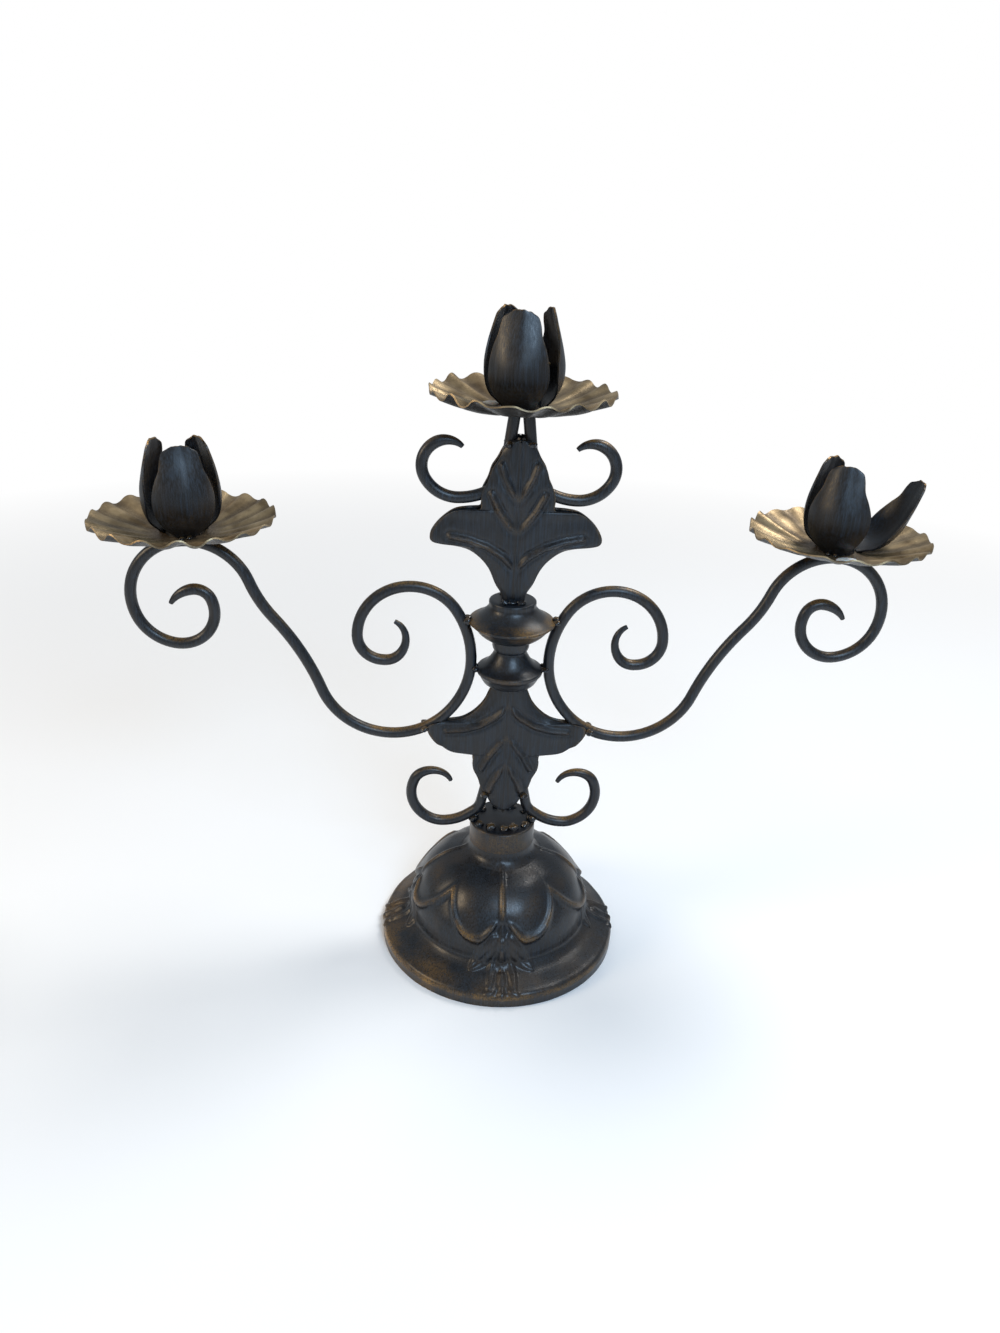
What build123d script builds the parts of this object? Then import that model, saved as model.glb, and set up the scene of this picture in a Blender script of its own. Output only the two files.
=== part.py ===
from build123d import *
import os
from math import asin, cos, degrees, radians, sin, sqrt

os.makedirs("parts", exist_ok=True)

# Three-arm candle holder in welded steel, millimetres.
# Z is up, the origin is the centre of the base's underside, the arms lie along X, and -Y is the front.

# Round bar that all scrolls and hooks are bent from
rod_d = 8.0
rod_r = rod_d / 2
tip_d = 3.2  # drawn-out end of a scroll

# Pressed base: rolled rim, flared skirt, dome and neck in one sheet
base_r = 92.6
base_wall = 1.5
hem_width = 5.0
rim_h = 8.0
skirt_r = 70.0  # where the skirt meets the dome
skirt_top_z = 22.0
dome_mid_r = 67.0
dome_mid_z = 43.0
shoulder_r = 43.0
shoulder_z = 70.0
neck_r = 23.5
neck_foot_z = 87.0
base_leaf_count = 4
base_leaf_relief = 2.2
base_leaf_reach = 89.0  # tip of the embossed leaf, from the axis
base_lobe_spread = 40.0  # half width across the two big lobes
base_lobe_r = 58.0  # distance of the big lobes from the axis
base_leaf_foot = 27.0

# Collar: a pressed cap over the neck
collar_wall = 1.6
collar_h = 17.0
collar_edge = 1.5
collar_top_z = 105.5

# Stamped leaf, a front and a back one at each place
leaf_len = 112.5
leaf_wall = 1.6
stem_half = 8.0
lobe_reach = 58.7
lobe_tip_at = 44.5  # along the leaf, from the stem's end
lobe_drop = 4.5
notch_half = 24.5
notch_at = 64.7
crown_half = 20.5
crown_at = 85.5
crease_rise = 1.2
crest_rise = 5.0
valley_rise = 2.6
lobe_rise = 4.4
crest_at = 10.0
vein_w = 1.6
vein_deep = 0.6
leaf_tip_gap = 12.0  # from the collar's top to the lower leaf's tip
stem_insert = 7.0  # the lower leaf's stem stands this far inside the knop

# Knop: four pressed shells on one axis, two wide edges
knop_wall = 1.3
lower_flange_r = 24.0
lower_bowl_h = 11.0
lower_mouth_r = 15.0
waist_r = 11.6
waist_h = 24.5
waist_top_r = 13.6
upper_flange_r = 30.8
upper_bowl_h = 12.5
upper_bowl_foot_r = 15.0
upper_bowl_inset = 0.9  # the bowl's edge lies this far inside the cap's edge
cap_h = 17.0
cap_shoulder_r = 17.0
cap_flat_r = 13.5

# Arms: bends of the bar as (radius, turn), a turn to the left is positive
arm_touch_rise = 17.0  # height over the knop's underside where an arm stands upright
neck_bend_rise = 38.0
inner_bends = ((38.0, -147.1), (18.5, -90.0))
inner_tip_bend = (16.0, -150.0)
outer_bends = ((63.5, 45.0), (54.0, 115.0), (182.0, -20.0), (88.0, 20.0), (43.0, -70.0))
curl_bends = ((41.0, -110.0), (32.0, -60.0), (25.0, -120.0), (11.5, -80.0))
curl_tip_bend = (22.0, -50.0)

# Hooks: a straight leg between the leaves, then a curl
leg_lean = 83.0  # degrees from level
leg_top_x = 4.4
leg_len = 43.5
leg_over_leaf = 17.0  # how far the upper legs stand above the upper leaf
elbow_bend = (7.0, 44.0)
hook_bends = ((45.0, 39.0), (25.0, 60.0), (17.3, 90.0))
hook_tip_bend = (15.3, 73.0)
foot_slope = 35.0
lower_hook_bends = ((34.5, 35.0), (20.0, 22.0), (26.1, 90.0))
lower_hook_tip_bend = (15.3, 133.0)
lower_elbow_bend = (14.0, 43.0)
lower_foot_run = 5.0
lower_leg_len = 38.0

# Drip pans
pan_r = 61.0
pan_wall = 1.0
pan_rise = 12.3
flute_count = 18
flute_wave = 2.2
flute_start_r = 19.0
hub_r = 20.5
hub_wall = 1.6

# Candle cups, rolled from strip, for a 22 mm candle
candle_bore_r = 11.0
cup_wall = 1.0
cup_h = 29.0
bore_h = 17.0
lip_r = 16.5

# Petals, three round each cup
petal_wall = 1.2
petal_h = 62.5
petal_curve_r = 24.0
petal_foot_gap = 0.1
petal_foot_half = 5.0
petal_belly_r = 26.0
petal_belly_half = 19.8
petal_tip_r = 17.2
petal_tip_half = 5.5
open_petal_lean = 34.0

# Weld beads
bead_r = 3.2
small_bead_r = 2.2
petal_bead_at = 15.1  # distance of a petal's weld from the cup's axis

# Levels up the stem
neck_top_z = collar_top_z - collar_wall
collar_r = neck_r + collar_wall
knop_z = collar_top_z + leaf_tip_gap + leaf_len - stem_insert
lower_flange_z = knop_z + lower_bowl_h
waist_top_z = lower_flange_z + waist_h
upper_flange_z = waist_top_z + upper_bowl_h
knop_top_z = upper_flange_z + cap_h
upper_leaf_top_z = knop_top_z + leaf_len
leg_top_z = upper_leaf_top_z + leg_over_leaf


def save(piece, name):
    """Labels a finished piece and writes it as its own node."""
    piece.part.label = name
    export_step(piece.part, f"parts/{name}.step")


def left_of(piece):
    """The left-hand copy of a right-hand piece."""
    return mirror(piece.part, about=Plane.YZ, mode=Mode.PRIVATE)


def set_back(line, wall):
    """The other face of a sheet: a smooth line, a wall to the left of the first one."""
    shares = [step / 10 for step in range(11)]
    return Spline([line @ share + (line % share).rotate(Axis.Z, 90) * wall for share in shares])


# Base shell: the profile runs from the rolled hem up to the neck, its wall lies on the inside
with BuildPart() as base_shell:
    with BuildSketch(Plane.XZ):
        with BuildLine():
            hem = Line((base_r - hem_width, 0), (base_r, 0))
            rim = Line(hem @ 1, (base_r, rim_h))
            skirt = Bezier(
                rim @ 1,
                (base_r, rim_h + 3.5),
                (base_r - 4, rim_h + 3),
                ((base_r + skirt_r) / 2, rim_h + 7),
                (skirt_r, skirt_top_z),
            )
            dome = Spline(
                skirt @ 1,
                (dome_mid_r, dome_mid_z),
                ((dome_mid_r + shoulder_r) / 2, (dome_mid_z + shoulder_z) / 2 + 3),
                (shoulder_r, shoulder_z),
                (neck_r + 6, neck_foot_z - 9),
                (neck_r, neck_foot_z),
                tangents=((0.05, 1), (0, 1)),
            )
            dome_inside = set_back(dome, base_wall)
            skirt_inside = set_back(skirt, base_wall)
            Line(dome_inside @ 0, skirt_inside @ 1)
            Polyline(
                dome @ 1,
                (neck_r, neck_top_z),
                (neck_r - base_wall, neck_top_z),
                dome_inside @ 1,
            )
            Polyline(
                skirt_inside @ 0,
                (base_r - base_wall, base_wall),
                (base_r - hem_width, base_wall),
                hem @ 0,
            )
        make_face()
    revolve(axis=Axis.Z)

# One leaf is embossed on the dome and skirt: a skin over their profile, inside the leaf's plan outline
with BuildPart() as base_leaf:
    for pressed in (dome, skirt):
        with BuildSketch(Plane.XZ):
            with BuildLine():
                add(pressed)
                skin = set_back(pressed, -base_leaf_relief)
                Line(pressed @ 0, skin @ 0)
                Line(pressed @ 1, skin @ 1)
            make_face()
        revolve(axis=Axis.Z)
    with BuildSketch(Plane.XY):
        with BuildLine():
            lobe_top = Spline(
                (0, -base_leaf_foot),
                (base_lobe_spread * 0.45, -base_leaf_foot * 1.1),
                (base_lobe_spread, -base_lobe_r * 0.78),
                tangents=((1, 0.15), (0.35, -1)),
            )
            lobe_end = ThreePointArc(
                lobe_top @ 1,
                (base_lobe_spread * 0.93, -base_lobe_r),
                (base_lobe_spread * 0.55, -base_lobe_r * 1.12),
            )
            lobe_under = Line(lobe_end @ 1, (base_lobe_spread * 0.28, -base_lobe_r * 1.05))
            barb = Polyline(
                lobe_under @ 1,
                (base_lobe_spread * 0.44, -base_leaf_reach * 0.88),
                (base_lobe_spread * 0.16, -base_leaf_reach * 0.84),
                (0, -base_leaf_reach),
            )
            mirror(about=Plane.YZ)
        make_face()
    extrude(amount=neck_top_z, mode=Mode.INTERSECT)
with BuildPart() as base_dome:
    add(base_shell.part)
    with PolarLocations(0, base_leaf_count):
        add(base_leaf.part)
save(base_dome, "base_dome")

# Collar: a cap pushed over the neck, its flat top carries the hooks
with BuildPart() as neck_collar:
    with BuildSketch(Plane.XZ):
        with BuildLine():
            outside = Line((0, collar_top_z), (collar_r - collar_edge, collar_top_z))
            edge = JernArc(outside @ 1, outside % 1, collar_edge, -90)
            Polyline(
                edge @ 1,
                (collar_r, collar_top_z - collar_h),
                (neck_r, collar_top_z - collar_h),
                (neck_r, neck_top_z),
                (0, neck_top_z),
                (0, collar_top_z),
            )
        make_face()
    revolve(axis=Axis.Z)
save(neck_collar, "neck_collar")

# Knop: four pressed shells, each profile has its wall on the inside
with BuildPart() as lower_knop_bowl:
    with BuildSketch(Plane.XZ):
        with BuildLine():
            bowl = Spline(
                (lower_mouth_r, knop_z),
                (lower_mouth_r + 3.2, knop_z + 1),
                (lower_flange_r - 1.4, lower_flange_z - 3.2),
                (lower_flange_r, lower_flange_z),
                tangents=((1, 0), (0, 1)),
            )
            bowl_inside = set_back(bowl, knop_wall)
            Line(bowl @ 0, bowl_inside @ 0)
            Line(bowl @ 1, bowl_inside @ 1)
        make_face()
    revolve(axis=Axis.Z)
save(lower_knop_bowl, "lower_knop_bowl")

with BuildPart() as knop_waist:
    with BuildSketch(Plane.XZ):
        with BuildLine():
            waist = Spline(
                (lower_flange_r, lower_flange_z),
                (lower_flange_r - 1, lower_flange_z + 1.3),
                (lower_flange_r - 6.5, lower_flange_z + 5),
                (waist_r, lower_flange_z + waist_h * 0.6),
                (waist_top_r, waist_top_z),
                tangents=((0, 1), (0, 1)),
            )
            waist_inside = set_back(waist, knop_wall)
            Line(waist @ 0, waist_inside @ 0)
            Line(waist @ 1, waist_inside @ 1)
        make_face()
    revolve(axis=Axis.Z)
save(knop_waist, "knop_waist")

with BuildPart() as upper_knop_bowl:
    with BuildSketch(Plane.XZ):
        with BuildLine():
            bowl = Spline(
                (upper_bowl_foot_r, waist_top_z),
                (upper_bowl_foot_r + 3.5, waist_top_z + 1.1),
                (upper_flange_r - 6.8, upper_flange_z - 7),
                (upper_flange_r - 1.8, upper_flange_z - 1.6),
                (upper_flange_r - upper_bowl_inset, upper_flange_z),
                tangents=((1, 0), (0, 1)),
            )
            bowl_inside = set_back(bowl, knop_wall)
            Line(bowl @ 1, bowl_inside @ 1)
            Polyline(
                bowl @ 0,
                (0, waist_top_z),
                (0, waist_top_z + knop_wall),
                bowl_inside @ 0,
            )
        make_face()
    revolve(axis=Axis.Z)
save(upper_knop_bowl, "upper_knop_bowl")

with BuildPart() as upper_knop_cap:
    with BuildSketch(Plane.XZ):
        with BuildLine():
            cap = Spline(
                (upper_flange_r, upper_flange_z),
                (upper_flange_r - 1.2, upper_flange_z + 1.3),
                (upper_flange_r - 6.8, upper_flange_z + 4.4),
                (cap_shoulder_r + 2, knop_top_z - cap_h * 0.48),
                (cap_shoulder_r - 0.3, knop_top_z - cap_h * 0.22),
                (cap_flat_r, knop_top_z),
                tangents=((0, 1), (-1, 0)),
            )
            cap_inside = set_back(cap, knop_wall)
            Line(cap @ 0, cap_inside @ 0)
            Polyline(
                cap @ 1,
                (0, knop_top_z),
                (0, knop_top_z - knop_wall),
                cap_inside @ 1,
            )
        make_face()
    revolve(axis=Axis.Z)
save(upper_knop_cap, "upper_knop_cap")


def round_bar(run, tip):
    """Round bar along a run of bends, with its drawn-out tip along the last bend."""
    with BuildPart() as bar:
        with BuildSketch(Plane(origin=run.line @ 0, z_dir=run.line % 0)):
            Circle(rod_r)
        sweep(path=run.line)
        for share in (0, 0.35, 0.7, 1):
            with BuildSketch(Plane(origin=tip.line @ share, z_dir=tip.line % share)):
                Circle(rod_r - (rod_r - tip_d / 2) * share**1.5)
        loft()
    return bar.part


# Arms: each starts upright against the lower edge of the knop and is bent both ways from there
arm_x = lower_flange_r + rod_r
arm_z = knop_z + arm_touch_rise
edge_in = arm_x - upper_flange_r
edge_up = upper_flange_z - arm_z
neck_bend_r = (edge_up**2 + edge_in**2 - rod_r**2) / (2 * (rod_r - edge_in))
neck_turn = degrees(asin(neck_bend_rise / neck_bend_r))

with BuildLine(Plane.XZ) as arm_inner:
    neck_bend = JernArc((arm_x, arm_z), (0, 1), neck_bend_r, -neck_turn)
    last = neck_bend
    for radius, turn in inner_bends:
        last = JernArc(last @ 1, last % 1, radius, turn)
with BuildLine(Plane.XZ) as arm_inner_tip:
    JernArc(last @ 1, last % 1, *inner_tip_bend)
with BuildLine(Plane.XZ) as arm_outer:
    last = JernArc((arm_x, arm_z), (0, -1), *outer_bends[0])
    for radius, turn in outer_bends[1:]:
        last = JernArc(last @ 1, last % 1, radius, turn)
    arm_top = last @ 1
    for radius, turn in curl_bends:
        last = JernArc(last @ 1, last % 1, radius, turn)
with BuildLine(Plane.XZ) as arm_outer_tip:
    JernArc(last @ 1, last % 1, *curl_tip_bend)
inner_half = round_bar(arm_inner, arm_inner_tip)
outer_half = round_bar(arm_outer, arm_outer_tip)
with BuildPart() as right_arm:
    add(inner_half)
    add(outer_half)
save(right_arm, "right_arm")
with BuildPart() as left_arm:
    add(left_of(right_arm))
save(left_arm, "left_arm")

# Upper hooks: the legs lean together and carry the top pan, the curls stand out beside the leaf
with BuildLine(Plane.XZ) as upper_hook_run:
    leg_end = (
        leg_top_x + leg_len * cos(radians(leg_lean)),
        leg_top_z - leg_len * sin(radians(leg_lean)),
    )
    leg_start = (leg_top_x - cos(radians(leg_lean)), leg_top_z + sin(radians(leg_lean)))
    leg = Line(leg_start, leg_end)
    last = JernArc(leg @ 1, leg % 1, *elbow_bend)
    for radius, turn in hook_bends:
        last = JernArc(last @ 1, last % 1, radius, turn)
with BuildLine(Plane.XZ) as upper_hook_tip:
    JernArc(last @ 1, last % 1, *hook_tip_bend)
upper_hook_bar = round_bar(upper_hook_run, upper_hook_tip)
with BuildPart() as upper_right_hook:
    add(upper_hook_bar)
    split(bisect_by=Plane.XY.offset(leg_top_z), keep=Keep.BOTTOM)
save(upper_right_hook, "upper_right_hook")
with BuildPart() as upper_left_hook:
    add(left_of(upper_right_hook))
save(upper_left_hook, "upper_left_hook")

# Lower hooks: the bar rests on the collar's edge, curls up outside it and runs up between the leaves
slope = radians(foot_slope)
seat = (collar_r - 0.4 + rod_r * sin(slope), collar_top_z + rod_r * cos(slope))
with BuildLine(Plane.XZ) as lower_hook_curl:
    last = JernArc(seat, (cos(slope), -sin(slope)), *lower_hook_bends[0])
    for radius, turn in lower_hook_bends[1:]:
        last = JernArc(last @ 1, last % 1, radius, turn)
with BuildLine(Plane.XZ) as lower_hook_tip:
    JernArc(last @ 1, last % 1, *lower_hook_tip_bend)
with BuildLine(Plane.XZ) as lower_hook_leg:
    foot_end = (seat[0] - lower_foot_run * cos(slope), seat[1] + lower_foot_run * sin(slope))
    foot = Line(seat, foot_end)
    elbow = JernArc(foot @ 1, foot % 1, lower_elbow_bend[0], -lower_elbow_bend[1])
    Line(elbow @ 1, elbow @ 1 + (elbow % 1) * lower_leg_len)
lower_hook_bar = round_bar(lower_hook_curl, lower_hook_tip)
with BuildPart() as lower_right_hook:
    add(lower_hook_bar)
    with BuildSketch(Plane(origin=foot @ 0, z_dir=foot % 0)):
        Circle(rod_r)
    sweep(path=lower_hook_leg.line)
save(lower_right_hook, "lower_right_hook")
with BuildPart() as lower_left_hook:
    add(left_of(lower_right_hook))
save(lower_left_hook, "lower_left_hook")


# Stamped leaf: a wavy pressed sheet, creased down the middle, cut to the leaf's outline
def leaf_wave(back):
    """The leaf's cross-section line, from edge to edge, moved towards the bars by back."""
    base = -rod_r - leaf_wall + back
    return Spline(
        (0, base - crease_rise),
        (crest_at, base - crest_rise),
        (notch_half, base - valley_rise),
        ((notch_half + lobe_reach) / 2, base - lobe_rise),
        (lobe_reach + 2, base),
        tangents=((1, -0.9), (1, 0.5)),
    )


def leaf_outline():
    """Half of the leaf in plan, stem end at zero, mirrored to the other side."""
    stem = Bezier(
        (stem_half, 0),
        (stem_half * 2, lobe_tip_at * 0.68),
        (lobe_reach * 0.5, lobe_tip_at * 0.88),
        (lobe_reach - 1.7, lobe_tip_at - lobe_drop),
    )
    tip = ThreePointArc(stem @ 1, (lobe_reach, lobe_tip_at), (lobe_reach - 1.8, lobe_tip_at + 5.5))
    top = Bezier(
        tip @ 1,
        (lobe_reach - 9, notch_at - 3),
        (notch_half + 14, notch_at + 2),
        (notch_half, notch_at),
    )
    side = ThreePointArc(top @ 1, (notch_half, (notch_at + crown_at) / 2), (crown_half, crown_at))
    Bezier(
        side @ 1,
        (crown_half - 1, crown_at + 12),
        (crown_half * 0.5, leaf_len - 5),
        (0, leaf_len),
    )
    Line((0, 0), (stem_half, 0))
    mirror(about=Plane.YZ)


def pressed_wave(front, back):
    """The wavy sheet between two depths of the leaf's cross-section, as long as the leaf."""
    with BuildPart() as sheet:
        with BuildSketch(Plane.XY.offset(-1)):
            with BuildLine():
                outside = leaf_wave(front)
                inside = leaf_wave(back)
                Line(outside @ 1, inside @ 1)
                mirror(about=Plane.YZ)
            make_face()
        extrude(amount=leaf_len + 2)
    return sheet.part


leaf_sheet = pressed_wave(0, leaf_wall)
vein_sheet = pressed_wave(-1, vein_deep)
with BuildPart() as veins:
    with BuildSketch(Plane.XZ):
        with BuildLine():
            ThreePointArc(
                (1, lobe_tip_at * 0.58),
                (lobe_reach * 0.34, lobe_tip_at * 0.92),
                (lobe_reach - 5, lobe_tip_at + 1),
            )
            Line((1, notch_at - 15), (notch_half - 6, notch_at + 10))
            Line((1, crown_at - 11), (crown_half - 9, crown_at + 9))
            mirror(about=Plane.YZ)
        trace(line_width=vein_w)
    extrude(amount=rod_d * 2 + crest_rise)
    add(vein_sheet, mode=Mode.INTERSECT)
with BuildPart() as leaf:
    add(leaf_sheet)
    with BuildSketch(Plane.XZ):
        with BuildLine():
            leaf_outline()
        make_face()
    extrude(amount=rod_d * 2 + crest_rise, mode=Mode.INTERSECT)
    add(veins.part, mode=Mode.SUBTRACT)
upper_leaf = Pos(0, 0, knop_top_z) * leaf.part
lower_leaf = Pos(0, 0, knop_z + stem_insert) * mirror(leaf.part, about=Plane.XY)
with BuildPart() as upper_front_leaf:
    add(upper_leaf)
save(upper_front_leaf, "upper_front_leaf")
with BuildPart() as upper_back_leaf:
    add(mirror(upper_leaf, about=Plane.XZ, mode=Mode.PRIVATE))
save(upper_back_leaf, "upper_back_leaf")
with BuildPart() as lower_front_leaf:
    add(lower_leaf)
save(lower_front_leaf, "lower_front_leaf")
with BuildPart() as lower_back_leaf:
    add(mirror(lower_leaf, about=Plane.XZ, mode=Mode.PRIVATE))
save(lower_back_leaf, "lower_back_leaf")


# Drip pan: one flute is lofted from crest to crest and repeated round a flat hub
def pan_height(radius, turn):
    """Height of the pan's sheet over its hub, at a radius and a share of one flute."""
    out = (radius - flute_start_r) / (pan_r - flute_start_r)
    return pan_rise * out**1.4 + flute_wave * out * cos(radians(360 * turn))


with BuildPart() as flute:
    for turn in (0, 0.25, 0.5, 0.75, 1):
        angle = radians(360 / flute_count * turn)
        radial = Plane(
            origin=(0, 0, 0),
            x_dir=(cos(angle), sin(angle), 0),
            z_dir=(sin(angle), -cos(angle), 0),
        )
        with BuildSketch(radial):
            with BuildLine():
                steps = [flute_start_r + (pan_r - flute_start_r) * share for share in (0, 0.3, 0.65, 1)]
                upper = Spline([(r, pan_height(r, turn)) for r in steps])
                lower = Spline([(r, pan_height(r, turn) - pan_wall) for r in steps])
                Line(upper @ 0, lower @ 0)
                Line(upper @ 1, lower @ 1)
            make_face()
    loft()
with BuildPart() as pan:
    with PolarLocations(0, flute_count):
        add(flute.part)
    with BuildSketch(Plane.XY.offset(-(pan_wall + hub_wall) / 2)):
        Circle(hub_r)
    extrude(amount=hub_wall)
hub_top = (hub_wall - pan_wall) / 2
hub_under = -(pan_wall + hub_wall) / 2

# Candle cup: strip rolled to a tube that stands on the pan's hub and flares at the top
with BuildPart() as cup:
    with BuildSketch(Plane.XZ):
        with BuildLine():
            cup_r = candle_bore_r + cup_wall
            flare = Spline(
                (cup_r, bore_h),
                ((cup_r + lip_r) / 2 - 0.6, (bore_h + cup_h) / 2 + 1.5),
                (lip_r, cup_h),
                tangents=((0, 1), (1, 0.9)),
            )
            flare_inside = set_back(flare, cup_wall)
            Line(flare @ 1, flare_inside @ 1)
            Polyline(flare @ 0, (cup_r, 0), (candle_bore_r, 0), flare_inside @ 0)
        make_face()
    revolve(axis=Axis.Z)

# Petal: a spoon-shaped stamping, its sections are bent strips from the foot to the blunt tip
petal_foot_r = candle_bore_r + cup_wall + petal_foot_gap + petal_wall
petal_sections = (
    (0, petal_foot_r, petal_foot_half),
    (0.13, petal_foot_r + 0.56 * (petal_belly_r - petal_foot_r), 0.68 * petal_belly_half),
    (0.32, petal_belly_r - 0.3, 0.98 * petal_belly_half),
    (0.52, petal_belly_r - 0.4, 0.97 * petal_belly_half),
    (0.74, petal_tip_r + 0.6 * (petal_belly_r - petal_tip_r), 0.75 * petal_belly_half),
    (0.93, petal_tip_r + 0.15 * (petal_belly_r - petal_tip_r), petal_tip_half + 4),
    (1, petal_tip_r, petal_tip_half),
)
with BuildPart() as petal:
    for level, out, half in petal_sections:
        dip = petal_curve_r - sqrt(petal_curve_r**2 - half**2)
        with BuildSketch(Plane.XY.offset(level * petal_h)):
            with BuildLine():
                outer = ThreePointArc((out - dip, -half), (out, 0), (out - dip, half))
                inner = ThreePointArc(
                    (out - dip - petal_wall, -half),
                    (out - petal_wall, 0),
                    (out - dip - petal_wall, half),
                )
                Line(outer @ 0, inner @ 0)
                Line(outer @ 1, inner @ 1)
            make_face()
    loft()
upright_petal = petal.part
open_petal = upright_petal.rotate(Axis((petal_foot_r, 0, 0), (0, 1, 0)), open_petal_lean)


def weld(name, spots, joined, radius=bead_r):
    """Weld beads: a ball at each spot, cut back to the pieces that it joins."""
    with BuildPart() as beads:
        with Locations(*spots):
            Sphere(radius)
        for piece in joined:
            add(piece.part, mode=Mode.SUBTRACT)
    with BuildPart() as filled:
        add(beads.solids().filter_by(lambda bead: bead.volume > radius**3 / 4))
    save(filled, name)


def on_all_sides(x, y, z):
    """The same spot left and right, front and back."""
    return [(way * x, face * y, z) for way in (1, -1) for face in (1, -1)]


# Each holder: a pan on its bar, a cup on the pan's hub and three petals round the cup
pan_seat_z = arm_top.Z + rod_r - hub_under
holders = {
    "top": ((0, 0, leg_top_z - hub_under), {"front": -105, "right": 15, "back": 135}),
    "left": ((-arm_top.X, 0, pan_seat_z), {"front": -70, "inner": 50, "outer": 170}),
    "right": ((arm_top.X, 0, pan_seat_z), {"front": -120, "outer": 0, "back": 120}),
}
pans = []
for side, (place, petals) in holders.items():
    hub = Pos(place) * Pos(0, 0, hub_top)
    with BuildPart() as holder_pan:
        add(Pos(place) * pan.part)
    save(holder_pan, f"{side}_drip_pan")
    pans.append(holder_pan)
    with BuildPart() as holder_cup:
        add(hub * cup.part)
    save(holder_cup, f"{side}_candle_cup")
    feet = []
    joined = [holder_pan]
    for where, angle in petals.items():
        stands_open = side == "right" and where == "outer"
        with BuildPart() as holder_petal:
            add(hub * Rot(0, 0, angle) * (open_petal if stands_open else upright_petal))
        save(holder_petal, f"{side}_{where}_petal")
        joined.append(holder_petal)
        feet.append(Vector(petal_bead_at, 0, small_bead_r / 4).rotate(Axis.Z, angle))
    weld(f"{side}_petal_welds", [hub.position + foot for foot in feet], joined, small_bead_r)

# Welds at the joints of bars, leaves, knop, collar and pans
arms = [right_arm, left_arm]
knop = [lower_knop_bowl, knop_waist, upper_knop_bowl, upper_knop_cap]
upper_hooks = [upper_right_hook, upper_left_hook]
lower_hooks = [lower_right_hook, lower_left_hook]
upper_leaves = [upper_front_leaf, upper_back_leaf]
lower_leaves = [lower_front_leaf, lower_back_leaf]
nook = bead_r / 2  # how far a bead's middle stands off the surfaces it fills between
weld(
    "collar_welds",
    [
        *on_all_sides(collar_r - nook - 0.5, rod_r, collar_top_z + nook),
        (collar_r - 2 * nook - 0.4, 0, collar_top_z + nook),
        (-collar_r + 2 * nook + 0.4, 0, collar_top_z + nook),
    ],
    [neck_collar, *lower_hooks],
)
stem_bead_x = (-5, 0, 5)
stem_bead_y = rod_r + leaf_wall + crest_rise - nook
mouth_bead_y = lower_mouth_r - 2 * nook + 0.4
weld(
    "upper_stem_welds",
    [(x, face * stem_bead_y, knop_top_z + nook / 2) for x in stem_bead_x for face in (1, -1)],
    [upper_knop_cap, *upper_leaves],
)
weld(
    "lower_stem_welds",
    [(x, face * mouth_bead_y, knop_z + nook / 2) for x in stem_bead_x for face in (1, -1)],
    [lower_knop_bowl, *lower_leaves],
)
weld(
    "knop_arm_welds",
    [
        *on_all_sides(upper_flange_r + 1, rod_r - 0.6, upper_flange_z + 0.3),
        *on_all_sides(upper_flange_r + 0.5, 0.5, upper_flange_z + 1.8),
        *on_all_sides(lower_flange_r + 0.9, rod_r - 0.6, lower_flange_z + 0.6),
        *on_all_sides(lower_flange_r + 0.5, 0.5, lower_flange_z + 2),
    ],
    [*arms, *knop],
)
weld(
    "leaf_lobe_welds",
    on_all_sides(lobe_reach + bead_r, rod_r + leaf_wall, knop_z + stem_insert - lobe_tip_at),
    arms,
)
weld(
    "upper_hook_welds",
    on_all_sides(leg_top_x + bead_r, rod_r + nook + 0.6, upper_leaf_top_z - bead_r),
    [*upper_hooks, *upper_leaves],
)
weld(
    "lower_hook_welds",
    on_all_sides(lower_elbow_bend[0] + 0.9, rod_r + nook + 0.7, collar_top_z + leaf_tip_gap * 2),
    [*lower_hooks, *lower_leaves],
)
weld(
    "pan_welds",
    [
        (0, rod_r - 0.5, leg_top_z - 0.7),
        (0, -rod_r + 0.5, leg_top_z - 0.7),
        *on_all_sides(arm_top.X, rod_r - 0.4, arm_top.Z + rod_r - 0.9),
    ],
    [*arms, *upper_hooks, *pans],
)
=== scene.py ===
from math import atan2, cos, exp, hypot, pi, radians, sin
import bpy
from mathutils import Matrix, Vector, noise


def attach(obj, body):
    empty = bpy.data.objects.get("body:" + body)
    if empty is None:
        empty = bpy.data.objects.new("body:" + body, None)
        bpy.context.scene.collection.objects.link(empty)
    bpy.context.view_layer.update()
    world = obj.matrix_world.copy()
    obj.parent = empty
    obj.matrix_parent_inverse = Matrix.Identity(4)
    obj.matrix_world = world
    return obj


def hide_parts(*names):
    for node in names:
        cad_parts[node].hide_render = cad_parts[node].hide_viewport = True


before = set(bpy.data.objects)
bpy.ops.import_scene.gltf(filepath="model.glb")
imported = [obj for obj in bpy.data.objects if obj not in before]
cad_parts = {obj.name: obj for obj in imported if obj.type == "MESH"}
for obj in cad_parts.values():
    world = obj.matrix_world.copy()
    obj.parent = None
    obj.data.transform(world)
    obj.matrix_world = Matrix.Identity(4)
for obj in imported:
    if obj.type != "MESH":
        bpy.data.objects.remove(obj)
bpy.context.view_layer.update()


# The view: the camera stands left of the middle and above the arms, looking down, slightly turned and tilted.
# A long side of 1333 pixels and a lens of 27 mm give the perspective.
down, turned, tilted = radians(25.3), radians(3.16), radians(2.55)
ahead = Vector((sin(turned) * cos(down), cos(turned) * cos(down), -sin(down)))
right = Vector((cos(turned), -sin(turned), 0))
up = right.cross(ahead)
across = cos(tilted) * right + sin(tilted) * up
upright = -sin(tilted) * right + cos(tilted) * up
eye = bpy.data.cameras.new("view")
eye.sensor_width = 36
eye.lens = 27.0
eye.clip_start = 0.01
view = bpy.data.objects.new("view", eye)
bpy.context.scene.collection.objects.link(view)
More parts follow.
